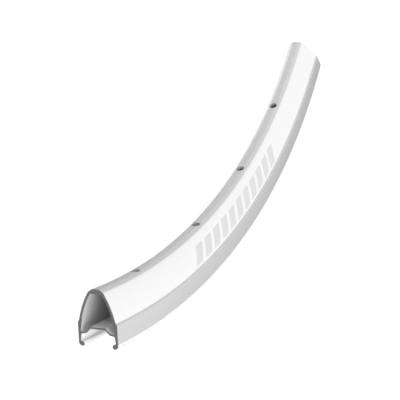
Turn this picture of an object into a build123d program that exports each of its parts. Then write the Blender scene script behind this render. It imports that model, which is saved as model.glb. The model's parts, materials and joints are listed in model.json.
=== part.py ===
from build123d import *
import os
from math import cos, radians, sqrt, tan

# A cut length of double-wall bicycle rim, lying on one brake track.
# One aluminium extrusion, rolled to the hoop's radius, then drilled for spokes and sawn at both ends.
# Millimetres and degrees. Z is across the rim, and the hoop's axle is parallel to Z, on the -Y side.

# Hoop
BEAD_SEAT_DIAMETER = 622.0  # at the middle of the bead seats
SPOKE_COUNT = 32  # spoke holes in the whole hoop

# Cut length
SWEEP = 50.2  # hoop angle between the two saw cuts
FIRST_HOLE_ANGLE = 6.0  # from the cut on the +X end to the first spoke hole
CUT_MARGIN = 2.0  # least hoop angle between a hole's axis and a saw cut

# Outside of the section
RIM_WIDTH = 19.4  # over the brake tracks
RIM_DEPTH = 24.65  # crown to flange lips
CROWN_ROUND = 5.0  # radius across the crown
WALL_BOW = 38.0  # radius that the side walls are bowed to
TRACK_HEIGHT = 9.95  # flat brake track, from its upper corner to the flange lip
TRACK_PROUD = 0.75  # brake track over the foot of the side wall
STEP_RISE = 1.1  # radial length of the slanted step between the two

# Walls
CROWN_THICKNESS = 2.3
WALL_THICKNESS = 1.18  # side walls
TRACK_WALL = 1.15  # metal behind the brake tracks, level with the bead seats
TRACK_LEAN = 9.5  # lean of its inner face, thicker towards the crown
BRIDGE_THICKNESS = 0.75  # well and bead seats
CHAMBER_SHOULDER = 1.2  # radius inside the crown's corners

# Tyre channel
FLANGE_HEIGHT = 5.45  # middle of the bead seat to flange lip
FLANGE_ROOT = 1.5  # flange thickness at the bead seat
FLANGE_NECK = 1.05  # flange thickness under the hook
LIP_ROUND = 1.7  # outer radius of the flange lip
HOOK_RADIUS = 1.0  # round bead of the hook
MOUTH_WIDTH = 13.8  # between the two hooks
NECK_ROUND = 0.3  # radius between hook and flange
SEAT_WIDTH = 2.45  # one bead seat
SEAT_SLOPE = 10.0  # the seats lean down towards the well
WELL_WIDTH = 7.0  # flat floor of the well
WELL_DEPTH = 2.2  # middle of the bead seat to well floor
WELL_ROUND = 0.5  # radius where the seats turn down into the well

# Drilling
SPOKE_HOLE = 4.4  # through the crown
ACCESS_HOLE = 8.5  # through the well, to pass a spoke nipple

# Places worked out from these
HALF_WIDTH = RIM_WIDTH / 2
SEAT_RADIUS = BEAD_SEAT_DIAMETER / 2
LIP_RADIUS = SEAT_RADIUS + FLANGE_HEIGHT
CROWN_RADIUS = LIP_RADIUS - RIM_DEPTH
CROWN_CENTRE = Vector(CROWN_RADIUS + CROWN_ROUND, 0)
TRACK_TOP = LIP_RADIUS - TRACK_HEIGHT
WALL_FOOT = Vector(TRACK_TOP - STEP_RISE, HALF_WIDTH - TRACK_PROUD)
WELL_FLOOR = SEAT_RADIUS - WELL_DEPTH
SEAT_TANGENT = tan(radians(SEAT_SLOPE))
SEAT_RISE = SEAT_WIDTH / 2 * SEAT_TANGENT
FLANGE_FACE = HALF_WIDTH - FLANGE_ROOT
CHAMBER_TOP = CROWN_RADIUS + CROWN_THICKNESS
SEAT_CORNER = Vector(SEAT_RADIUS + SEAT_RISE, FLANGE_FACE)
HOOK_NECK = Vector(LIP_RADIUS - 2 * HOOK_RADIUS, HALF_WIDTH - FLANGE_NECK)
HOOK_ACROSS = MOUTH_WIDTH / 2 + HOOK_RADIUS
OUTSIDE = LIP_RADIUS + HOOK_RADIUS  # a radius clear of the rim
SPOKE_PITCH = 360 / SPOKE_COUNT


# The section is drawn with the hoop radius along X and the place across the rim along Y.
def both_sides(half):
    """A half of the section and its mirror image, as one face."""
    return half + mirror(half, about=Plane.XZ)


def rounded(face, radius, *corners):
    """Round the corners of a face that lie nearest to the given points, on both sides of the rim."""
    points = [Vector(corner) for corner in corners]
    places = [Vector(point.X, side * point.Y) for point in points for side in (1, -1)]
    vertices = face.vertices()
    nearest = [min(vertices, key=lambda vertex: (vertex.center() - place).length) for place in places]
    return fillet(nearest, radius)


def bow_centre():
    """Centre of one side wall's bow, which starts at the wall's foot and runs smoothly into the crown's round."""
    span = WALL_FOOT - CROWN_CENTRE
    apart = WALL_BOW - CROWN_ROUND
    along = (span.length**2 + apart**2 - WALL_BOW**2) / (2 * span.length)
    across = sqrt(apart**2 - along**2)
    direction = span.normalized()
    return CROWN_CENTRE + direction * along + direction.rotate(Axis.Z, -90) * across


def silhouette():
    """Everything inside the rim's outer line, with the chamber and the tyre channel still solid."""
    bow = bow_centre()
    shoulder = bow + (CROWN_CENTRE - bow).normalized() * WALL_BOW
    crown = TangentArc((CROWN_RADIUS, 0), shoulder, tangent=(0, 1))
    wall = TangentArc(shoulder, WALL_FOOT, tangent=crown % 1)
    track_top = (TRACK_TOP, HALF_WIDTH)
    lip = (LIP_RADIUS, HALF_WIDTH)
    track = Polyline(WALL_FOOT, track_top, lip, (LIP_RADIUS, 0), (CROWN_RADIUS, 0))
    return rounded(both_sides(make_face([crown, wall, track])), LIP_ROUND, lip)


def above_bridge():
    """The space above the bridge, which is the well and the two bead seats, as wide as the rim."""
    well = (WELL_FLOOR, WELL_WIDTH / 2)
    seat_edge = (SEAT_RADIUS - SEAT_RISE, FLANGE_FACE - SEAT_WIDTH)
    seat_end = (SEAT_CORNER.X + FLANGE_ROOT * SEAT_TANGENT, HALF_WIDTH)
    walls = [(WELL_FLOOR, 0), well, seat_edge, seat_end]
    outline = Polyline(*walls, (OUTSIDE, HALF_WIDTH), (OUTSIDE, 0), close=True)
    return rounded(both_sides(make_face(outline)), WELL_ROUND, seat_edge)


def hooks():
    """The round beads along the flange lips, each with the web that carries it on its flange."""
    bead = Pos(LIP_RADIUS - HOOK_RADIUS, HOOK_ACROSS) * Circle(HOOK_RADIUS)
    web = Rectangle(2 * HOOK_RADIUS, HALF_WIDTH - HOOK_ACROSS)
    return both_sides(bead + Pos(LIP_RADIUS - HOOK_RADIUS, (HALF_WIDTH + HOOK_ACROSS) / 2) * web)


def between_flanges():
    """The space between the flange faces and the hooks, from deep in the well to outside the lips.

    Offsetting it in and out rounds the neck under each hook.
    """
    foot = SEAT_CORNER + (SEAT_CORNER - HOOK_NECK) * 2
    outline = Polyline((foot.X, 0), foot, HOOK_NECK, (OUTSIDE, HOOK_NECK.Y), (OUTSIDE, 0), close=True)
    space = both_sides(make_face(outline)) - hooks()
    return offset(offset(space, -NECK_ROUND), NECK_ROUND)


def chamber():
    """The hollow between crown and bridge, a wall's thickness inside the outer line and under the bridge."""
    bow = bow_centre()
    bow_disc = Circle(WALL_BOW - WALL_THICKNESS)
    between_walls = (Pos(bow.X, bow.Y) * bow_disc) & (Pos(bow.X, -bow.Y) * bow_disc)
    brake_face = HALF_WIDTH - TRACK_WALL
    lean = (SEAT_RADIUS - CHAMBER_TOP) * tan(radians(TRACK_LEAN))
    brake_line = Line((CHAMBER_TOP, brake_face - lean), (SEAT_RADIUS, brake_face))
    outline = Polyline(brake_line @ 1, (SEAT_RADIUS, 0), (CHAMBER_TOP, 0), brake_line @ 0)
    between_tracks = both_sides(make_face([brake_line, outline]))
    bridge = offset(above_bridge(), BRIDGE_THICKNESS, kind=Kind.INTERSECTION)
    face = (between_walls & between_tracks) - bridge
    return rounded(face, CHAMBER_SHOULDER, (CHAMBER_TOP, CROWN_ROUND))


def rim_section():
    """The whole extruded section: the outer line's face without the chamber and the tyre's space."""
    return silhouette() - chamber() - (above_bridge() & between_flanges())


def spoke_angles():
    """Hoop angles of the spoke holes, from the cut on the +X end."""
    last = SWEEP - CUT_MARGIN
    count = int((last - FIRST_HOLE_ANGLE) / SPOKE_PITCH) + 1
    return [FIRST_HOLE_ANGLE + index * SPOKE_PITCH for index in range(count)]


def radial_drill(diameter, start, end, angle):
    """A drill along the hoop's radius, between two radii, at an angle from the middle of the cut length."""
    middle = (start + end) / 2
    return Rot(Z=angle) * Pos(0, middle, 0) * Rot(X=90) * Cylinder(diameter / 2, end - start)


def rim_segment():
    """The cut length of rim, drilled, lying on its lower brake track."""
    half_sweep = SWEEP / 2
    hoop = revolve(Plane.YZ * rim_section(), Axis.Z, revolution_arc=SWEEP)
    rim = Rot(Z=-half_sweep) * hoop
    chamber_middle = (CHAMBER_TOP + WELL_FLOOR) / 2
    for angle in spoke_angles():
        rim -= radial_drill(SPOKE_HOLE, CROWN_RADIUS - CROWN_THICKNESS, chamber_middle, angle - half_sweep)
        rim -= radial_drill(ACCESS_HOLE, chamber_middle, LIP_RADIUS, angle - half_sweep)
    box_middle = (CROWN_RADIUS * cos(radians(half_sweep)) + LIP_RADIUS) / 2
    return Pos(0, -box_middle, HALF_WIDTH) * rim


os.makedirs("parts", exist_ok=True)
export_step(rim_segment(), "parts/rim_segment.step")
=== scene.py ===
"""Looks of a cut length of double-wall bicycle rim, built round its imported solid."""

import json
import logging
import math
from collections.abc import Callable
from dataclasses import dataclass, field
from enum import Enum
from typing import Any

import bmesh
import bpy
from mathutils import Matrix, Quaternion, Vector
from mathutils.geometry import intersect_line_line


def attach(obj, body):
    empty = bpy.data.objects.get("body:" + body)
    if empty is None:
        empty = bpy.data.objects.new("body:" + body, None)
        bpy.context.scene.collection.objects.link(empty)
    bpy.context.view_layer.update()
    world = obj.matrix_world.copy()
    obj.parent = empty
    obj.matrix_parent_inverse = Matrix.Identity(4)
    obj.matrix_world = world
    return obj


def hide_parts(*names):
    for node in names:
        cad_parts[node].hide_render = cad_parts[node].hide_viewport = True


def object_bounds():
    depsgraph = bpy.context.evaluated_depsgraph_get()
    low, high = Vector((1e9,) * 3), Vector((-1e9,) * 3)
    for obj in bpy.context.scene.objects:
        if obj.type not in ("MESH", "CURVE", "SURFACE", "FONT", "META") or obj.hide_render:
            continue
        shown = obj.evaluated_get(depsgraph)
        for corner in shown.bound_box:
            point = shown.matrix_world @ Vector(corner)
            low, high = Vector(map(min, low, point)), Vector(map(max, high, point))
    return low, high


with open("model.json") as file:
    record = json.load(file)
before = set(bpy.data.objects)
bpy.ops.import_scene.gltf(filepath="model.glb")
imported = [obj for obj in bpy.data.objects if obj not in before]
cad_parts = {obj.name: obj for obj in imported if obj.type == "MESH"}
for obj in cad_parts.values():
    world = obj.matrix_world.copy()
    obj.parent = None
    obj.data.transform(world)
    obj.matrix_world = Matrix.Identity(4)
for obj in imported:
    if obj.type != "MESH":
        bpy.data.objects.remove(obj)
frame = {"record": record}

CAD_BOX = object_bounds()
MM = 0.001
NODE = "rim_segment"
BODY = "root"
LOG = logging.getLogger("rim")

Key = int | str
Inputs = dict[Key, Any]
Band = tuple[float, float]
Place = tuple[float, float, float]


class Zone(Enum):
    """Parts of the rim's surface that have a finish of their own."""

    CROWN = 0
    WALL = 1
    STEP = 2
    TRACK = 3
    CHANNEL = 4
    # painted shade: the crease under the hook, given a darker tone than the channel's white paint
    NECK = 5
    CHAMBER = 6
    SAWN = 7
    DRILLED = 8


# Node trees


def operation(name: str, swapped: bool = False) -> Callable[..., "Signal"]:
    """Make a method of Signal that adds one Math node.

    Args:
        name: Blender's name for the operation.
        swapped: Whether the other value comes first.

    Returns:
        The method, which takes the other value if the operation has one.
    """

    def method(signal: "Signal", *others: Any) -> "Signal":
        """Add the node."""
        values = (*others, signal) if swapped else (signal, *others)
        return signal.graph.add("ShaderNodeMath", dict(enumerate(values)), operation=name)

    return method


class Signal:
    """A node's output that takes part in arithmetic, where each operation adds one Math node.

    A comparison gives one or zero, and a remainder is never negative. Angles are in radians, and turn gives
    the angle whose tangent is this over the other.
    """

    def __init__(self, graph: "Graph", socket: bpy.types.NodeSocket) -> None:
        """Wrap a socket of a graph."""
        self.graph = graph
        self.socket = socket

    __add__ = __radd__ = operation("ADD")
    __sub__ = operation("SUBTRACT")
    __rsub__ = operation("SUBTRACT", swapped=True)
    __mul__ = __rmul__ = operation("MULTIPLY")
    __truediv__ = operation("DIVIDE")
    __mod__ = operation("FLOORED_MODULO")
    __lt__ = operation("LESS_THAN")
    __gt__ = operation("GREATER_THAN")
    floor = operation("FLOOR")
    root = operation("SQRT")
    sin = operation("SINE")
    cos = operation("COSINE")
    turn = operation("ARCTAN2")

    def __neg__(self) -> "Signal":
        """Negative."""
        return self * -1.0

    def hypot(self, other: "Signal") -> "Signal":
        """Length of the diagonal of two sides."""
        return (self * self + other * other).root()

    def clamp(self) -> "Signal":
        """The value, held between 0 and 1."""
        return self.graph.add("ShaderNodeClamp", {"Value": self})

    def ramp(self, low: float, high: float) -> "Signal":
        """Smooth rise from 0 at one value to 1 at another.

        Args:
            low: Value where the result is 0.
            high: Value where the result is 1.

        Returns:
            The rise, held at its ends.
        """
        inputs = {"Value": self, "From Min": low, "From Max": high}
        return self.graph.add("ShaderNodeMapRange", inputs, interpolation_type="SMOOTHSTEP")


class Graph:
    """A node tree under construction."""

    def __init__(self, tree: bpy.types.NodeTree) -> None:
        """Start with an empty tree."""
        self.tree = tree
        tree.nodes.clear()

    def node(self, kind: str, inputs: Inputs | None = None, **settings: Any) -> bpy.types.Node:
        """Add a node.

        Args:
            kind: Blender's name for the type of node.
            inputs: Values, signals or lists of signals, by the socket's place or name.
            settings: Properties of the node, set before its sockets.

        Returns:
            The new node.
        """
        node = self.tree.nodes.new(kind)
        for name, value in settings.items():
            setattr(node, name, value)
        for key, value in (inputs or {}).items():
            self.feed(self.find(node.inputs, key), value)
        return node

    def add(self, kind: str, inputs: Inputs | None = None, output: Key = 0, **settings: Any) -> Signal:
        """Add a node and give one of its outputs.

        Args:
            kind, inputs, settings: As for node.
            output: Place or name of the output that is wanted.

        Returns:
            That output as a signal.
        """
        node = self.node(kind, inputs, **settings)
        return Signal(self, self.find(node.outputs, output))

    def find(self, sockets: Any, key: Key) -> bpy.types.NodeSocket:
        """Look up a socket.

        Args:
            sockets: Inputs or outputs of a node.
            key: The socket's place, or the name or identifier of one in use.

        Returns:
            The socket.
        """
        if isinstance(key, int):
            return sockets[key]
        in_use = (socket for socket in sockets if socket.enabled)
        return next(socket for socket in in_use if key in (socket.name, socket.identifier))

    def feed(self, socket: bpy.types.NodeSocket, value: Any) -> None:
        """Link a socket or set its value.

        Args:
            socket: The socket.
            value: A signal or a list of signals to link to it, or a value of its own.
        """
        for part in reversed(value) if isinstance(value, list) else [value]:
            if isinstance(part, Signal):
                self.tree.links.new(part.socket, socket)
            else:
                socket.default_value = part

    def split(self, vector: Signal) -> tuple[Signal, Signal, Signal]:
        """The three parts of a vector."""
        node = self.node("ShaderNodeSeparateXYZ", {0: vector})
        return tuple(Signal(self, socket) for socket in node.outputs)

    def join(self, x: Any, y: Any, z: Any) -> Signal:
        """A vector of three parts."""
        return self.add("ShaderNodeCombineXYZ", {0: x, 1: y, 2: z})


# Sizes of the rim


@dataclass(frozen=True)
class RimSizes:
    """Sizes of the rim's section and hoop, in metres and radians.

    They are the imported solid's, and some that it lacks: the crown's flat with a straight shoulder on each
    side, the rounds at step, heels and well floor, the broken edges, and the edges of the finishes.
    """

    # Outside
    lip_radius: float = 316.45 * MM
    width: float = 19.4 * MM  # over the brake tracks
    depth: float = 24.65 * MM  # crown to flange lips
    crown_round: float = 5.0 * MM
    crown_flat: float = 3.4 * MM
    flat_round: float = 0.8 * MM
    wall_bow: float = 38.0 * MM
    track_height: float = 9.95 * MM
    track_proud: float = 0.75 * MM  # brake track over the foot of the side wall
    step_rise: float = 1.1 * MM
    step_round: float = 0.3 * MM

    # Walls
    crown_thickness: float = 2.3 * MM
    wall_thickness: float = 1.18 * MM
    track_wall: float = 1.15 * MM  # behind the brake tracks, level with the bead seats
    track_lean: float = math.radians(9.5)  # thicker towards the crown
    bridge_thickness: float = 0.75 * MM
    shoulder_round: float = 1.2 * MM
    chamber_heel: float = 0.5 * MM

    # Tyre channel
    seat_radius: float = 311.0 * MM  # middle of the bead seats
    flange_root: float = 1.5 * MM
    flange_neck: float = 1.05 * MM
    lip_round: float = 1.7 * MM
    hook_radius: float = 1.0 * MM
    mouth_width: float = 13.8 * MM  # between the hooks
    neck_round: float = 0.3 * MM
    seat_width: float = 2.45 * MM
    seat_slope: float = math.radians(10.0)
    seat_heel: float = 0.6 * MM
    well_width: float = 7.0 * MM
    well_depth: float = 2.2 * MM
    well_round: float = 0.5 * MM

    # Holes and edges
    spoke_hole: float = 4.4 * MM
    access_hole: float = 8.5 * MM
    edge_break: float = 0.06 * MM

    # Edges of the finishes, and of the painted shade under the hook
    crown_stripe: float = 7.0 * MM
    shoulder_end: float = 0.08  # share of the crown's shoulder that turns towards the wall
    paint_on_step: float = 0.25  # share of the step that has the wall's paint
    paint_on_track: float = 0.3 * MM  # channel's paint past the lip's round
    neck_shade_reach: float = 1.3 * MM  # reach of the painted shade along the flange, from the hook: a darker band for the crease under the hook

    @property
    def half_width(self) -> float:
        """Middle of the rim to a brake track."""
        return self.width / 2

    @property
    def crown_radius(self) -> float:
        """Hoop radius of the crown's top line."""
        return self.lip_radius - self.depth

    @property
    def chamber_top(self) -> float:
        """Hoop radius of the metal's inner face under the crown."""
        return self.crown_radius + self.crown_thickness

    @property
    def well_floor(self) -> float:
        """Hoop radius of the well's floor."""
        return self.seat_radius - self.well_depth

    @property
    def seat_rise(self) -> float:
        """Radial rise of a bead seat, from its middle to its outer edge."""
        return self.seat_width / 2 * math.tan(self.seat_slope)

    @property
    def axle(self) -> float:
        """Distance from the frame's origin back to the hoop's axle."""
        return self.lip_radius - CAD_BOX[1].y

    @property
    def sweep(self) -> float:
        """Hoop angle between the two saw cuts."""
        return 2 * math.asin(CAD_BOX[1].x / self.lip_radius)

    @property
    def crown_centre(self) -> Vector:
        """Centre of the round across the crown."""
        return Vector((self.crown_radius + self.crown_round, 0))

    @property
    def flat_edge(self) -> Vector:
        """Edge of the narrow flat along the crown, where its straight shoulder starts."""
        return self.on_crown(self.crown_flat / 2)

    @property
    def stripe_edge(self) -> Vector:
        """Edge of the crown's bare stripe, where its shoulder ends and the painted wall starts."""
        return self.on_crown(self.crown_stripe / 2)

    @property
    def track_top(self) -> Vector:
        """Corner where the slanted step meets the brake track."""
        return Vector((self.lip_radius - self.track_height, self.half_width))

    @property
    def wall_foot(self) -> Vector:
        """Place where the side wall meets the slanted step."""
        return self.track_top - Vector((self.step_rise, self.track_proud))

    @property
    def seat_corner(self) -> Vector:
        """Corner where the flange meets the bead seat."""
        return Vector((self.seat_radius + self.seat_rise, self.half_width - self.flange_root))

    @property
    def seat_edge(self) -> Vector:
        """Edge where the bead seat turns down into the well."""
        return self.seat_corner - Vector((2 * self.seat_rise, self.seat_width))

    @property
    def well_corner(self) -> Vector:
        """Corner at the well's floor."""
        return Vector((self.well_floor, self.well_width / 2))

    @property
    def bow_centre(self) -> Vector:
        """Centre of the side wall's bow, which runs smoothly into the crown's round."""
        span = self.wall_foot - self.crown_centre
        apart = self.wall_bow - self.crown_round
        along = (span.length_squared + apart**2 - self.wall_bow**2) / (2 * span.length)
        across = math.sqrt(apart**2 - along**2)
        direction = span.normalized()
        return self.crown_centre + direction * along + Vector((direction.y, -direction.x)) * across

    def on_crown(self, across: float) -> Vector:
        """Place on the round across the crown."""
        return self.crown_centre + Vector((-math.sqrt(self.crown_round**2 - across**2), across))


# Section


@dataclass(frozen=True)
class Corner:
    """A point of a section line, with the zone of the stretch after it and the radius of its round."""

    place: Vector
    zone: Zone
    fillet: float = 0.0


@dataclass
class SectionLine:
    """A closed line of the section, drawn for the upper half and mirrored.

    Points are (hoop radius, place across the rim), from the crown's side to the tyre's side.
    """

    metal_inside: bool
    round_step: float = math.radians(11.0)
    chord: float = 1.2 * MM
    corners: list[Corner] = field(default_factory=list)

    def to(self, radius: float, across: float, zone: Zone, fillet: float = 0.0) -> None:
        """Go on to a corner."""
        self.corners.append(Corner(Vector((radius, across)), zone, fillet))

    def bend(
        self, centre: Vector, end: Vector, zone: Zone, fillet: float = 0.0, then: Zone | None = None
    ) -> None:
        """Go on round a centre, from the last corner.

        Args:
            centre: Centre of the arc.
            end: Last point of the arc.
            zone: Zone of the arc.
            fillet: Radius of the round at its end.
            then: Zone of the stretch that follows, if it is another.
        """
        start = self.corners[-1].place
        step = min(self.round_step, self.chord / (start - centre).length)
        for place in arc(centre, start, end, step)[1:-1]:
            self.corners.append(Corner(place, zone))
        self.corners.append(Corner(end, then or zone, fillet))

    def rounded(self) -> list[Corner]:
        """Round the corners of the half line.

        Returns:
            The points in order, each with the zone that follows it.
        """
        points = []
        for index, corner in enumerate(self.corners):
            places = [corner.place]
            if corner.fillet:
                before = (self.corners[index - 1].place - corner.place).normalized()
                after = (self.corners[index + 1].place - corner.place).normalized()
                half = before.angle(after) / 2
                reach = corner.fillet / math.tan(half)
                centre = corner.place + (before + after).normalized() * corner.fillet / math.sin(half)
                start = corner.place + before * reach
                end = corner.place + after * reach
                places = arc(centre, start, end, self.round_step)
            points += [Corner(place, corner.zone) for place in places]
        return points

    def mesh(self, name: str) -> bpy.types.Mesh:
        """The whole line as a loop of edges.

        Args:
            name: Name of the mesh.

        Returns:
            A mesh whose points hold the zone of the edge that follows and the way into the metal.
        """
        half = self.rounded()
        places = [corner.place for corner in half]
        zones = [corner.zone.value for corner in half[:-1]]
        loop = places + [Vector((place.x, -place.y)) for place in reversed(places[1:-1])]
        edges = [(index, (index + 1) % len(loop)) for index in range(len(loop))]
        mesh = bpy.data.meshes.new(name)
        mesh.from_pydata([(*place, 0.0) for place in loop], edges, [])
        zone = mesh.attributes.new("zone", "INT", "POINT")
        zone.data.foreach_set("value", zones + zones[::-1])
        inward = mesh.attributes.new("inward", "FLOAT_VECTOR", "POINT")
        for point, way in zip(inward.data, self.ways_in(loop)):
            point.vector = (*way, 0.0)
        return mesh

    def ways_in(self, loop: list[Vector]) -> list[Vector]:
        """Find the ways into the metal.

        Args:
            loop: Points of the closed line.

        Returns:
            For each point, the move that takes both of its edges one metre into the metal.
        """
        count = len(loop)
        area = sum(loop[i - 1].x * loop[i].y - loop[i].x * loop[i - 1].y for i in range(count))
        side = 1.0 if (area > 0) == self.metal_inside else -1.0
        runs = [(loop[(i + 1) % count] - loop[i]).normalized() for i in range(count)]
        normals = [Vector((-run.y, run.x)) * side for run in runs]
        return [mitre(normals[i - 1], normals[i]) for i in range(count)]


def arc(centre: Vector, start: Vector, end: Vector, step: float) -> list[Vector]:
    """Points on the shorter arc between two points.

    Args:
        centre: Centre of the arc.
        start: First point.
        end: Last point.
        step: Largest angle between neighbours.

    Returns:
        The points, with both ends.
    """
    first = start - centre
    last = end - centre
    turn = math.atan2(first.x * last.y - first.y * last.x, first.dot(last))
    count = max(1, math.ceil(abs(turn) / step))
    angle = math.atan2(first.y, first.x)
    angles = [angle + turn * index / count for index in range(count + 1)]
    return [centre + Vector((math.cos(a), math.sin(a))) * first.length for a in angles]


def mitre(normal: Vector, other: Vector) -> Vector:
    """The move of a corner that takes its edges one metre along their normals."""
    return (normal + other) / (1 + normal.dot(other))


# Rim


@dataclass
class SpokeDrill:
    """The cutter of one spoke: a hole with a broken edge in the crown, and an access hole in the well."""

    sizes: RimSizes
    spare: float = 0.03 * MM
    lead: float = 0.6 * MM
    sides: int = 56

    def crown_at(self, across: float) -> float:
        """Find the crown's surface.

        Args:
            across: Place across the rim.

        Returns:
            Hoop radius of the flat or of a shoulder there.
        """
        flat = self.sizes.flat_edge
        stripe = self.sizes.stripe_edge
        share = (abs(across) - flat.y) / (stripe.y - flat.y)
        return flat.lerp(stripe, max(0.0, share)).x

    def mesh(self) -> bpy.types.Mesh:
        """Make the drill from rings of points.

        Returns:
            A closed stepped drill at the middle of the hoop, with its axis along Y.
        """
        size = self.sizes
        hole = size.spoke_hole / 2
        access = size.access_hole / 2
        wide = hole + size.edge_break + self.spare
        middle = (size.chamber_top + size.well_floor) / 2
        outside = size.lip_radius + size.hook_radius
        over_crown = [(wide, -self.lead), (wide, -self.spare), (hole, size.edge_break)]
        in_hoop = [(hole, middle), (access, middle), (access, outside)]
        turns = [2 * math.pi * side / self.sides for side in range(self.sides)]
        circle = [(math.cos(turn), math.sin(turn)) for turn in turns]
        points = [
            (reach * x, self.crown_at(reach * z) + rise, reach * z)
            for reach, rise in over_crown
            for x, z in circle
        ]
        points += [(reach * x, radius, reach * z) for reach, radius in in_hoop for x, z in circle]
        rings = len(over_crown) + len(in_hoop)
        first = len(points)
        points += [(0.0, size.crown_radius - self.lead, 0.0), (0.0, outside, 0.0)]
        faces = []
        for side in range(self.sides):
            after = (side + 1) % self.sides
            for ring in range(rings - 1):
                low = ring * self.sides
                faces.append((low + side, low + after, low + self.sides + after, low + self.sides + side))
            last = (rings - 1) * self.sides
            faces.append((first, after, side))
            faces.append((first + 1, last + side, last + after))
        mesh = bpy.data.meshes.new("spoke_drill")
        mesh.from_pydata(points, [], faces)
        zone = mesh.attributes.new("zone", "INT", "FACE")
        zone.data.foreach_set("value", [Zone.DRILLED.value] * len(mesh.polygons))
        point_outwards(mesh)
        return mesh


def point_outwards(mesh: bpy.types.Mesh) -> None:
    """Turn the faces of a closed mesh outwards.

    Args:
        mesh: The mesh, which is changed.
    """
    work = bmesh.new()
    work.from_mesh(mesh)
    bmesh.ops.recalc_face_normals(work, faces=work.faces)
    work.to_mesh(mesh)
    work.free()


def add_object(data: bpy.types.ID) -> bpy.types.Object:
    """Put a mesh, light or camera in the scene.

    Args:
        data: What the object holds, and is named after.

    Returns:
        The object, at the origin.
    """
    made = bpy.data.objects.new(data.name, data)
    bpy.context.scene.collection.objects.link(made)
    return made


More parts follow.
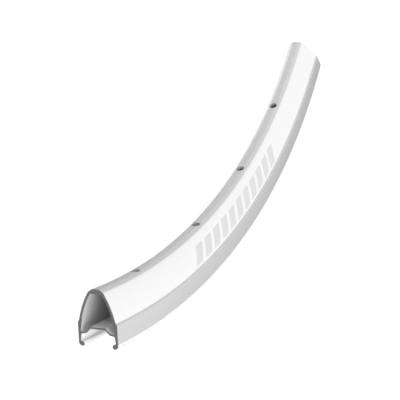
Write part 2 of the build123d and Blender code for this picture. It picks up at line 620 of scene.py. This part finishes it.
@dataclass
class RollingTree:
    """Geometry Nodes that extrude the section, roll it to the hoop, saw its ends and drill it."""

    weld: float = 0.003 * MM
    graph: Graph = field(init=False)
    inputs: dict[str, Signal] = field(init=False)
    keys: dict[str, str] = field(init=False)

    SOCKETS = {
        "NodeSocketGeometry": ["Outer line"],
        "NodeSocketObject": ["Chamber line", "Drill"],
        "NodeSocketFloat": [
            "Sweep", "Axle", "Half width", "Hoop radius", "Edge break", "First hole", "Hole pitch",
        ],
        "NodeSocketInt": ["Rings", "Holes"],
        "NodeSocketMaterial": [zone.name for zone in Zone],
    }

    def __post_init__(self) -> None:
        """Make the tree with its named inputs."""
        tree = bpy.data.node_groups.new("extrude_roll_saw_drill", "GeometryNodeTree")
        self.graph = Graph(tree)
        self.keys = {}
        for kind, names in self.SOCKETS.items():
            for name in names:
                socket = tree.interface.new_socket(name, in_out="INPUT", socket_type=kind)
                self.keys[name] = socket.identifier
        tree.interface.new_socket("Rim", in_out="OUTPUT", socket_type="NodeSocketGeometry")
        group = self.graph.node("NodeGroupInput")
        self.inputs = {name: Signal(self.graph, group.outputs[name]) for name in self.keys}
        self.build()

    def named(self, name: str, kind: str) -> Signal:
        """A named attribute as a field."""
        return self.graph.add("GeometryNodeInputNamedAttribute", {"Name": name}, "Attribute", data_type=kind)

    def sample(self, line: Signal, value: Signal, kind: str, index: Signal) -> Signal:
        """A point's value on a section line."""
        inputs = {"Geometry": line, "Value": value, "Index": index}
        return self.graph.add("GeometryNodeSampleIndex", inputs, "Value", data_type=kind, domain="POINT")

    def rolled(self, radius: Signal, across: Signal, angle: Signal) -> Signal:
        """Find a place on the hoop.

        Args:
            radius: Hoop radius of the place.
            across: Place across the rim.
            angle: Hoop angle from the middle of the length.

        Returns:
            The place in the frame.
        """
        x = radius * angle.sin()
        y = radius * angle.cos() - self.inputs["Axle"]
        return self.graph.join(x, y, across + self.inputs["Half width"])

    def with_zone(self, geometry: Signal, zone: Signal | int) -> Signal:
        """Geometry whose faces hold a zone."""
        inputs = {"Geometry": geometry, "Name": "zone", "Value": zone}
        return self.graph.add("GeometryNodeStoreNamedAttribute", inputs, data_type="INT", domain="FACE")

    def skin(self, line: Signal, outside: bool) -> Signal:
        """Roll a section line into a skin, with its edges broken at both saw cuts.

        Args:
            line: The closed line, whose points hold zones and ways into the metal.
            outside: Whether the metal lies inside the line.

        Returns:
            A grid with one column of faces for each edge of the line.
        """
        graph = self.graph
        rings = self.inputs["Rings"]
        count = graph.add("GeometryNodeAttributeDomainSize", {0: line}, "Point Count", component="MESH")
        size = {"Vertices X": count + 1, "Vertices Y": rings}
        grid = graph.add("GeometryNodeMeshGrid", size, "Mesh")
        # Points: the first and last rows are the broken edges, and the rows between are evenly spread
        index = graph.add("GeometryNodeInputIndex")
        column = ((index + 0.5) / rings).floor()
        row = index - column * rings
        first = row < 0.5
        last = row > rings - 1.5
        point = column % count
        place = self.sample(line, graph.add("GeometryNodeInputPosition"), "FLOAT_VECTOR", point)
        way = self.sample(line, self.named("inward", "FLOAT_VECTOR"), "FLOAT_VECTOR", point)
        radius, across, _ = graph.split(place)
        inward_radius, inward_across, _ = graph.split(way)
        edge_break = self.inputs["Edge break"]
        inset = (first + last) * edge_break
        break_angle = edge_break / self.inputs["Hoop radius"]
        share = ((row - 1) / (rings - 3)).clamp()
        angle = (share - 0.5) * (self.inputs["Sweep"] - 2 * break_angle) + (last - first) * break_angle
        position = self.rolled(radius + inward_radius * inset, across + inward_across * inset, angle)
        skin = graph.add("GeometryNodeSetPosition", {"Geometry": grid, "Position": position})
        # Faces: a column has one row less, and its first and last rows count as sawn
        edge = ((index + 0.5) / (rings - 1)).floor()
        row = index - edge * (rings - 1)
        broken = (row < 0.5) + (row > rings - 2.5)
        zone = self.sample(line, self.named("zone", "INT"), "INT", edge)
        skin = self.with_zone(skin, zone + broken * (Zone.SAWN.value - zone))
        return graph.add("GeometryNodeFlipFaces", {"Mesh": skin}) if outside else skin

    def sawn_face(self, lines: list[Signal], side: float) -> Signal:
        """Fill the section at one saw cut.

        Args:
            lines: The section's closed lines.
            side: 1 for the cut on the +X end, -1 for the other.

        Returns:
            The flat face.
        """
        graph = self.graph
        inset = graph.add(
            "ShaderNodeVectorMath",
            {0: self.named("inward", "FLOAT_VECTOR"), "Scale": self.inputs["Edge break"]},
            operation="SCALE",
        )
        loops = [graph.add("GeometryNodeSetPosition", {"Geometry": line, "Offset": inset}) for line in lines]
        curves = [graph.add("GeometryNodeMeshToCurve", {"Mesh": loop}) for loop in loops]
        joined = graph.add("GeometryNodeJoinGeometry", {0: curves})
        face = graph.add("GeometryNodeFillCurve", {"Curve": joined}, mode="TRIANGLES")
        radius, across, _ = graph.split(graph.add("GeometryNodeInputPosition"))
        position = self.rolled(radius, across, self.inputs["Sweep"] * (side / 2))
        face = graph.add("GeometryNodeSetPosition", {"Geometry": face, "Position": position})
        if side < 0:
            face = graph.add("GeometryNodeFlipFaces", {"Mesh": face})
        return self.with_zone(face, Zone.SAWN.value)

    def drills(self) -> Signal:
        """Set up the drill once for each spoke.

        Returns:
            All the drills, as one mesh.
        """
        graph = self.graph
        drill = graph.add("GeometryNodeObjectInfo", {"Object": self.inputs["Drill"]}, "Geometry")
        axle = graph.join(0.0, -self.inputs["Axle"], self.inputs["Half width"])
        points = graph.add("GeometryNodePoints", {"Count": self.inputs["Holes"], "Position": axle})
        index = graph.add("GeometryNodeInputIndex")
        angle = self.inputs["First hole"] + index * self.inputs["Hole pitch"]
        turned = {"Points": points, "Instance": drill, "Rotation": graph.join(0.0, 0.0, -angle)}
        instances = graph.add("GeometryNodeInstanceOnPoints", turned)
        return graph.add("GeometryNodeRealizeInstances", {"Geometry": instances})

    def build(self) -> None:
        """Join the skins and the sawn faces, drill them and give each zone its material."""
        graph = self.graph
        outer = self.inputs["Outer line"]
        chamber = graph.add("GeometryNodeObjectInfo", {"Object": self.inputs["Chamber line"]}, "Geometry")
        skins = [self.skin(outer, True), self.skin(chamber, False)]
        parts = skins + [self.sawn_face([outer, chamber], side) for side in (-1.0, 1.0)]
        joined = graph.add("GeometryNodeJoinGeometry", {0: parts})
        closed = graph.add("GeometryNodeMergeByDistance", {"Geometry": joined, "Distance": self.weld})
        cut = {"Mesh 1": closed, "Mesh 2": [self.drills()]}
        rim = graph.add("GeometryNodeMeshBoolean", cut, "Mesh", operation="DIFFERENCE", solver="EXACT")
        rim = graph.add("GeometryNodeRealizeInstances", {"Geometry": rim})
        # Each material covers its zone and all later ones, which then get their own
        for zone in Zone:
            limits = {"A": self.named("zone", "INT"), "B": zone.value}
            onwards = graph.add("FunctionNodeCompare", limits, data_type="INT", operation="GREATER_EQUAL")
            inputs = {"Geometry": rim, "Selection": onwards, "Material": self.inputs[zone.name]}
            rim = graph.add("GeometryNodeSetMaterial", inputs)
        graph.node("NodeGroupOutput", {"Rim": rim})


@dataclass
class RimSegment:
    """The cut length of rim, lying on its lower brake track."""

    sizes: RimSizes
    rings: int = 149
    smooth_angle: float = math.radians(28.0)

    def outer_line(self) -> SectionLine:
        """Draw the outer line.

        Returns:
            The line along crown, side wall, step, brake track, flange, hook, bead seat and well.
        """
        size = self.sizes
        crown = size.crown_centre
        flat = size.flat_edge
        stripe = size.stripe_edge
        bow = size.bow_centre
        foot = size.wall_foot
        track_top = size.track_top
        track_end = size.lip_radius - size.lip_round - size.paint_on_track
        hook_across = size.mouth_width / 2 + size.hook_radius
        hook_top = size.lip_radius - 2 * size.hook_radius
        hook_centre = Vector((size.lip_radius - size.hook_radius, hook_across))
        hook_tip = hook_centre - Vector((0, size.hook_radius))
        # From this point on the hook to a little way up the flange, the faces get painted shade: a darker
        # tone for the crease under the hook
        hook_shade_start = hook_centre - Vector((1, 1)).normalized() * size.hook_radius
        neck = Vector((hook_top, size.half_width - size.flange_neck))
        neck_shade_end = neck + (size.seat_corner - neck).normalized() * size.neck_shade_reach
        line = SectionLine(metal_inside=True)
        line.to(flat.x, 0, Zone.CROWN)
        line.to(*flat, Zone.CROWN, size.flat_round)
        line.to(*stripe.lerp(flat, size.shoulder_end), Zone.CROWN)
        line.to(*stripe, Zone.WALL)
        line.bend(crown, bow + (crown - bow).normalized() * size.wall_bow, Zone.WALL)
        line.bend(bow, foot, Zone.WALL, size.step_round)
        line.to(*foot.lerp(track_top, size.paint_on_step), Zone.STEP)
        line.to(*track_top, Zone.TRACK, size.step_round)
        line.to(track_end, size.half_width, Zone.CHANNEL)
        line.to(size.lip_radius, size.half_width, Zone.CHANNEL, size.lip_round)
        line.to(size.lip_radius, hook_across, Zone.CHANNEL)
        line.bend(hook_centre, hook_tip, Zone.CHANNEL)
        line.bend(hook_centre, hook_shade_start, Zone.CHANNEL, then=Zone.NECK)
        line.bend(hook_centre, Vector((hook_top, hook_across)), Zone.NECK)
        line.to(*neck, Zone.NECK, size.neck_round)
        line.to(*neck_shade_end, Zone.CHANNEL)
        line.to(*size.seat_corner, Zone.CHANNEL, size.seat_heel)
        line.to(*size.seat_edge, Zone.CHANNEL, size.well_round)
        line.to(*size.well_corner, Zone.CHANNEL, size.well_round)
        line.to(size.well_floor, 0, Zone.CHANNEL)
        return line

    def chamber_line(self) -> SectionLine:
        """Draw the line round the hollow.

        Returns:
            The line under the crown, down the walls and along the underside of the bridge.
        """
        size = self.sizes
        bow = size.bow_centre
        inner_bow = size.wall_bow - size.wall_thickness
        shoulder = bow.y + math.sqrt(inner_bow**2 - (size.chamber_top - bow.x) ** 2)
        brake_face = Vector((size.seat_radius, size.half_width - size.track_wall))
        lean = Vector((-math.cos(size.track_lean), -math.sin(size.track_lean)))
        to_bow = brake_face - bow
        along = -to_bow.dot(lean) + math.sqrt(to_bow.dot(lean) ** 2 - to_bow.length_squared + inner_bow**2)
        seat = Vector((math.sin(size.seat_slope), math.cos(size.seat_slope)))
        slant = (size.well_corner - size.seat_edge).normalized()
        floor = Vector((0, -1))
        under_seat = self.inset_corner(size.seat_edge, -seat, slant)
        under_well = self.inset_corner(size.well_corner, slant, floor)
        heel, _ = intersect_line_line(under_seat, under_seat + seat, brake_face, brake_face + lean)
        line = SectionLine(metal_inside=False)
        line.to(size.chamber_top, 0, Zone.CHAMBER)
        line.to(size.chamber_top, shoulder, Zone.CHAMBER, size.shoulder_round)
        line.bend(bow, brake_face + lean * along, Zone.CHAMBER)
        line.to(*heel.xy, Zone.CHAMBER, size.chamber_heel)
        line.to(*under_seat, Zone.CHAMBER, size.well_round)
        line.to(*under_well, Zone.CHAMBER, size.well_round)
        line.to(under_well.x, 0, Zone.CHAMBER)
        return line

    def inset_corner(self, corner: Vector, before: Vector, after: Vector) -> Vector:
        """A corner of the bridge's top, moved through the bridge.

        Args:
            corner: The corner.
            before: Direction of the stretch that comes to it.
            after: Direction of the stretch that leaves it.

        Returns:
            The corner of the underside.
        """
        normals = [Vector((way.y, -way.x)) for way in (before, after)]
        return corner + mitre(*normals) * self.sizes.bridge_thickness

    def hole_angles(self) -> list[float]:
        """Hoop angles of the spoke holes, from the frame's mounts, in order."""
        mounts = [mount for mount in frame["record"]["mounts"] if mount["kind"] == "bore"]
        return sorted(math.atan2(mount["pos_m"][0], mount["pos_m"][1] + self.sizes.axle) for mount in mounts)

    def build(self, finishes: dict[Zone, bpy.types.Material]) -> bpy.types.Object:
        """Make the rim's mesh.

        Args:
            finishes: The material of each zone.

        Returns:
            The finished object, at the origin.
        """
        size = self.sizes
        blank = add_object(self.outer_line().mesh("outer_line"))
        chamber = add_object(self.chamber_line().mesh("chamber_line"))
        drill = add_object(SpokeDrill(size).mesh())
        angles = self.hole_angles()
        values = {
            "Chamber line": chamber,
            "Drill": drill,
            "Sweep": size.sweep,
            "Axle": size.axle,
            "Half width": size.half_width,
            "Hoop radius": size.seat_radius,
            "Edge break": size.edge_break,
            "Rings": self.rings,
            "Holes": len(angles),
            "First hole": angles[0],
            "Hole pitch": (angles[-1] - angles[0]) / (len(angles) - 1),
            **{zone.name: material for zone, material in finishes.items()},
        }
        tree = RollingTree()
        modifier = blank.modifiers.new("roll", "NODES")
        modifier.node_group = tree.graph.tree
        for name, value in values.items():
            modifier[tree.keys[name]] = value
        shape = blank.evaluated_get(bpy.context.evaluated_depsgraph_get())
        mesh = bpy.data.meshes.new_from_object(shape)
        blank.modifiers.remove(modifier)
        for helper in (blank, chamber, drill):
            bpy.data.objects.remove(helper)
        mesh.name = "rim_length"
        mesh.shade_smooth()
        mesh.set_sharp_from_angle(angle=self.smooth_angle)
        return add_object(mesh)


# Finishes


class Surface:
    """A material's node tree, with places on the hoop as signals."""

    def __init__(self, name: str, sizes: RimSizes) -> None:
        """Start a material.

        Args:
            name: Name of the material.
            sizes: Sizes of the rim, for places on the hoop.
        """
        self.material = bpy.data.materials.new(name)
        self.material.use_nodes = True
        self.graph = Graph(self.material.node_tree)
        self.shader = self.graph.node("ShaderNodeBsdfPrincipled")
        self.graph.node("ShaderNodeOutputMaterial", {"Surface": Signal(self.graph, self.shader.outputs[0])})
        place = self.graph.add("ShaderNodeTexCoord", output="Object")
        x, y, z = self.graph.split(place)
        depth = y + sizes.axle
        self.radius = x.hypot(depth)
        self.along = x.turn(depth) * sizes.seat_radius
        self.across = z - sizes.half_width

    def set(self, **inputs: Any) -> None:
        """Set or feed inputs of the shader, whose names have underscores for spaces."""
        for name, value in inputs.items():
            self.graph.feed(self.graph.find(self.shader.inputs, name.replace("_", " ")), value)

    def noise(self, x: Any, y: Any, z: Any, detail: float) -> Signal:
        """Noise about 0.5, at a place whose parts count in grains."""
        inputs = {"Vector": self.graph.join(x, y, z), "Scale": 1.0, "Detail": detail}
        return self.graph.add("ShaderNodeTexNoise", inputs, "Fac")

    def mix(self, share: Signal, one: Any, other: Any) -> Signal:
        """A colour between two, by a share."""
        inputs = {"Factor": share, "A": one, "B": other}
        return self.graph.add("ShaderNodeMix", inputs, "Result", data_type="RGBA")

    def bump(self, height: Signal, depth: float) -> None:
        """Raise the surface by a height from 0 to 1, of a depth in metres."""
        inputs = {"Height": height, "Distance": depth, "Strength": 1.0}
        self.set(Normal=self.graph.add("ShaderNodeBump", inputs, "Normal"))


def shade(value: float) -> tuple[float, float, float, float]:
    """A neutral colour of a linear value."""
    return (value, value, value, 1.0)


@dataclass(frozen=True)
class Finish:
    """A finish whose grain varies its tone, roughness and height."""

    name: str
    tone: float  # neutral base colour
    vary: float  # share of the tone that the grain adds or takes away
    rough: float
    rough_vary: float  # roughness that the grain adds or takes away
    grain: float  # size of a grain
    depth: float  # height of a grain
    metal: float = 0.0
    shine: float = 0.5
    detail: float = 2.0  # levels of finer noise

    def material(self, sizes: RimSizes) -> bpy.types.Material:
        """Make the material.

        Args:
            sizes: Sizes of the rim, for places on the hoop.

        Returns:
            The finished material.
        """
        surface = Surface(self.name, sizes)
        pattern = self.pattern(surface)
        light = shade(self.tone * (1 + self.vary))
        dark = shade(self.tone * (1 - self.vary))
        surface.set(Metallic=self.metal, Specular_IOR_Level=self.shine)
        surface.set(Base_Color=self.colour(surface, surface.mix(pattern, dark, light)))
        surface.set(Roughness=self.rough - self.rough_vary + pattern * (2 * self.rough_vary))
        surface.bump(pattern, self.depth)
        return surface.material

    def pattern(self, surface: Surface) -> Signal:
        """The grain of the finish, about 0.5."""
        raise NotImplementedError

    def colour(self, surface: Surface, base: Signal) -> Signal:
        """The colour of the finish, from its base colour."""
        return base


@dataclass(frozen=True)
class SlantedBars:
    """A row of plain pale bars along a painted wall, in metres along the hoop and along its radius."""

    tone: float = 0.62
    start: float = -50.0 * MM
    end: float = 60.0 * MM
    low: float = 297.2 * MM
    high: float = 304.6 * MM
    pitch: float = 10.0 * MM
    share: float = 0.7
    slant: float = -0.9

    def mask(self, surface: Surface) -> Signal:
        """Find the bars.

        Args:
            surface: The painted wall.

        Returns:
            One on the bars of the upper wall, else zero.
        """
        slid = surface.along + (surface.radius - self.low) * self.slant
        in_row = (slid > self.start) * (slid < self.end)
        in_height = (surface.radius > self.low) * (surface.radius < self.high)
        on_bar = ((slid - self.start) / self.pitch) % 1.0 < self.share
        return in_row * in_height * on_bar * (surface.across > 0.0)


@dataclass(frozen=True)
class WallPaint(Finish):
    """Glossy white paint with a faint orange peel."""

    bars: SlantedBars = SlantedBars()

    def pattern(self, surface: Surface) -> Signal:
        """Soft round grains."""
        places = (surface.along, surface.radius, surface.across)
        return surface.noise(*(place / self.grain for place in places), self.detail)

    def colour(self, surface: Surface, base: Signal) -> Signal:
        """White, with the bars."""
        return surface.mix(self.bars.mask(surface), base, shade(self.bars.tone))


@dataclass(frozen=True)
class DrawnMetal(Finish):
    """Metal with fine lines along the hoop, as it came from the die."""

    detail: float = 3.0
    run: float = 60.0 * MM

    def pattern(self, surface: Surface) -> Signal:
        """Long streaks."""
        fine = (surface.radius / self.grain, surface.across / self.grain)
        return surface.noise(surface.along / self.run, *fine, self.detail)


@dataclass(frozen=True)
class TurnedMetal(Finish):
    """A brake track turned flat, with fine lines round the hoop."""

    detail: float = 4.0
    run: float = 45.0 * MM

    def pattern(self, surface: Surface) -> Signal:
        """Lines that follow the hoop's radius."""
        fine = surface.radius / self.grain
        return surface.noise(surface.along / self.run, fine, surface.across / MM, self.detail)


@dataclass(frozen=True)
class SawnMetal(Finish):
    """A face left by a round saw blade, whose centre lies to one side of the rim."""

    detail: float = 3.0
    blade: float = 150.0 * MM
    blade_level: float = 300.0 * MM
    stretch: float = 20.0

    def pattern(self, surface: Surface) -> Signal:
        """Arcs about the blade's centre."""
        arcs = (surface.across + self.blade).hypot(surface.radius - self.blade_level)
        along_arcs = surface.radius / (self.stretch * self.grain)
        return surface.noise(arcs / self.grain, along_arcs, surface.along / MM, self.detail)


@dataclass(frozen=True)
class DrilledMetal(Finish):
    """The wall of a drilled hole."""

    def pattern(self, surface: Surface) -> Signal:
        """Rings down the hole."""
        fine = surface.radius / self.grain
        return surface.noise(fine, surface.across / MM, surface.along / MM, self.detail)


FINISHES = {
    Zone.CROWN: DrawnMetal(
        "satin_crown", tone=0.60, vary=0.02, shine=0.9,
        rough=0.30, rough_vary=0.05, grain=0.12 * MM, depth=0.002 * MM,
    ),
    Zone.WALL: WallPaint(
        "white_wall_paint", tone=0.77, vary=0.005,
        rough=0.30, rough_vary=0.04, grain=0.9 * MM, depth=0.003 * MM,
    ),
    Zone.STEP: DrawnMetal(
        "dull_step", tone=0.50, vary=0.02, shine=0.3,
        rough=0.60, rough_vary=0.05, grain=0.12 * MM, depth=0.001 * MM,
    ),
    Zone.TRACK: TurnedMetal(
        "turned_brake_track", tone=0.86, vary=0.03, metal=0.95,
        rough=0.26, rough_vary=0.04, grain=0.10 * MM, depth=0.0015 * MM,
    ),
    Zone.CHANNEL: DrawnMetal(
        "thin_paint_in_channel", tone=0.84, vary=0.02,
        rough=0.40, rough_vary=0.05, grain=0.15 * MM, depth=0.003 * MM,
    ),
    # Painted shade: a darker tone for the crease under the hook, where the channel's white paint lies in
    # shade
    Zone.NECK: DrawnMetal(
        "bare_metal_under_hook", tone=0.68, vary=0.03,
        rough=0.50, rough_vary=0.05, grain=0.15 * MM, depth=0.003 * MM,
    ),
    Zone.CHAMBER: DrawnMetal(
        "drawn_chamber", tone=0.65, vary=0.06, metal=0.1,
        rough=0.45, rough_vary=0.08, grain=0.20 * MM, depth=0.004 * MM,
    ),
    Zone.SAWN: SawnMetal(
        "sawn_end", tone=0.145, vary=0.12, metal=0.2,
        rough=0.55, rough_vary=0.08, grain=0.12 * MM, depth=0.003 * MM,
    ),
    Zone.DRILLED: DrilledMetal(
        "drilled_hole", tone=0.62, vary=0.08, metal=0.25,
        rough=0.40, rough_vary=0.08, grain=0.15 * MM, depth=0.004 * MM,
    ),
}


# Studio


@dataclass
class SoftBox:
    """A large soft light that points at the rim."""

    name: str
    place: Place
    width: float
    power: float

    def build(self) -> None:
        """Hang the light."""
        data = bpy.data.lights.new(self.name, "AREA")
        data.shape = "DISK"
        data.size = self.width
        data.energy = self.power
        light = add_object(data)
        light.location = self.place
        light.rotation_mode = "QUATERNION"
        light.rotation_quaternion = (-Vector(self.place)).to_track_quat("-Z", "Y")


@dataclass
class Studio:
    """A pale floor, soft light and the photograph's camera.

    Each band of the sky is a pair of heights between which its strength changes, where 1 is straight up.
    The bands below and ground count downwards, and the band fade runs along Y.
    """

    # Floor and backdrop
    floor_size: float = 6.0
    floor_gap: float = 0.02 * MM
    floor_tone: float = 0.35
    floor_shine: float = 0.1
    floor_glow: float = 0.74
    backdrop_radius: float = 2.8
    backdrop_height: float = 4.0
    backdrop_sides: int = 96
    stage_rough: float = 0.9

    # Sky
    sky_side: float = 0.02
    sky_top: float = 1.00
    sky_band: Band = (0.025, 0.75)
    sky_zenith: float = 0.45
    sky_cap: Band = (0.78, 0.98)
    sky_below: float = 0.36
    below_band: Band = (0.0, 0.2)
    fade_band: Band = (-0.35, 0.15)
    ground_glow: float = 2.2
    ground_band: Band = (0.62, 0.80)

    # Camera and lights
    lens: float = 78.025
    nearest: float = 0.01
    eye: Place = (0.34556, -0.215675, 0.212236)
    target: Place = (0.029954, -0.008693, 0.0097)
    roll: float = math.radians(91.368)
    lights: tuple[SoftBox, ...] = (
        SoftBox("key", (0.75, 0.0, 1.22), 0.9, 10.0),
        SoftBox("side", (0.0, -0.90, 1.20), 0.8, 4.4),
    )

    def glowing(
        self, mesh: bpy.types.Mesh, finish: str, tone: float, shine: float, glow: float
    ) -> bpy.types.Object:
        """Put a piece of the studio in the scene, with a white glow of its own.

        Args:
            mesh: The piece's mesh.
            finish: Name of its material.
            tone: Neutral base colour.
            shine: Level of its clear reflection.
            glow: Strength of its glow.

        Returns:
            The piece.
        """
        material = bpy.data.materials.new(finish)
        material.use_nodes = True
        shader = material.node_tree.nodes["Principled BSDF"]
        shader.inputs["Base Color"].default_value = shade(tone)
        shader.inputs["Roughness"].default_value = self.stage_rough
        shader.inputs["Specular IOR Level"].default_value = shine
        shader.inputs["Emission Color"].default_value = shade(1.0)
        shader.inputs["Emission Strength"].default_value = glow
        mesh.materials.append(material)
        return add_object(mesh)

    def floor(self) -> None:
        """Lay the floor under the rim, where reflections don't see it."""
        half = self.floor_size / 2
        mesh = bpy.data.meshes.new("floor")
        corners = [(x * half, y * half, -self.floor_gap) for x, y in ((-1, -1), (1, -1), (1, 1), (-1, 1))]
        mesh.from_pydata(corners, [], [(0, 1, 2, 3)])
        floor = self.glowing(mesh, "pale_floor", self.floor_tone, self.floor_shine, self.floor_glow)
        floor.visible_glossy = False

    def backdrop(self) -> None:
        """Stand a round white backdrop on the floor, which only the camera sees, for views from low down."""
        work = bmesh.new()
        radius = self.backdrop_radius
        size = {"radius1": radius, "radius2": radius, "depth": self.backdrop_height}
        bmesh.ops.create_cone(work, segments=self.backdrop_sides, **size)
        mesh = bpy.data.meshes.new("backdrop")
        work.to_mesh(mesh)
        work.free()
        backdrop = self.glowing(mesh, "white_backdrop", tone=0.0, shine=0.0, glow=1.0)
        backdrop.visible_diffuse = False
        backdrop.visible_glossy = False
        backdrop.visible_shadow = False

    def air(self) -> None:
        """Light the scene softly from above and from the sides, and from below for reflections alone."""
        world = bpy.data.worlds.new("studio")
        world.use_nodes = True
        graph = Graph(world.node_tree)
        _, depth, height = graph.split(graph.add("ShaderNodeTexCoord", output="Generated"))
        strength = self.sky_side + (self.sky_top - self.sky_side) * height.ramp(*self.sky_band)
        strength = strength - (self.sky_top - self.sky_zenith) * height.ramp(*self.sky_cap)
        ground = self.sky_below * (-height).ramp(*self.below_band) * (1.0 - depth.ramp(*self.fade_band))
        strength = strength + ground + self.ground_glow * (-height).ramp(*self.ground_band)
        light = graph.add("ShaderNodeBackground", {"Color": shade(1.0), "Strength": strength})
        graph.node("ShaderNodeOutputWorld", {"Surface": light})
        bpy.context.scene.world = world

    def camera(self) -> None:
        """Set up the camera, rolled as the photograph is."""
        data = bpy.data.cameras.new("camera")
        data.lens = self.lens
        data.clip_start = self.nearest
        camera = add_object(data)
        camera.location = self.eye
        camera.rotation_mode = "QUATERNION"
        level = (Vector(self.target) - Vector(self.eye)).to_track_quat("-Z", "Y")
        camera.rotation_quaternion = level @ Quaternion((0, 0, 1), self.roll)
        bpy.context.scene.camera = camera

    def build(self) -> None:
        """Set up the studio."""
        self.floor()
        self.backdrop()
        self.air()
        for light in self.lights:
            light.build()
        self.camera()
        bpy.context.scene.view_settings.view_transform = "Standard"


def main() -> None:
    """Build the studio and the rim."""
    logging.basicConfig(level=logging.INFO, format="%(message)s")
    sizes = RimSizes()
    Studio().build()
    LOG.info("studio: floor, backdrop, light and camera")
    finishes = {zone: finish.material(sizes) for zone, finish in FINISHES.items()}
    rim = RimSegment(sizes).build(finishes)
    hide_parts(NODE)
    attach(rim, BODY)
    LOG.info("%s: %d faces", rim.name, len(rim.data.polygons))


if __name__ == "__main__":
    main()
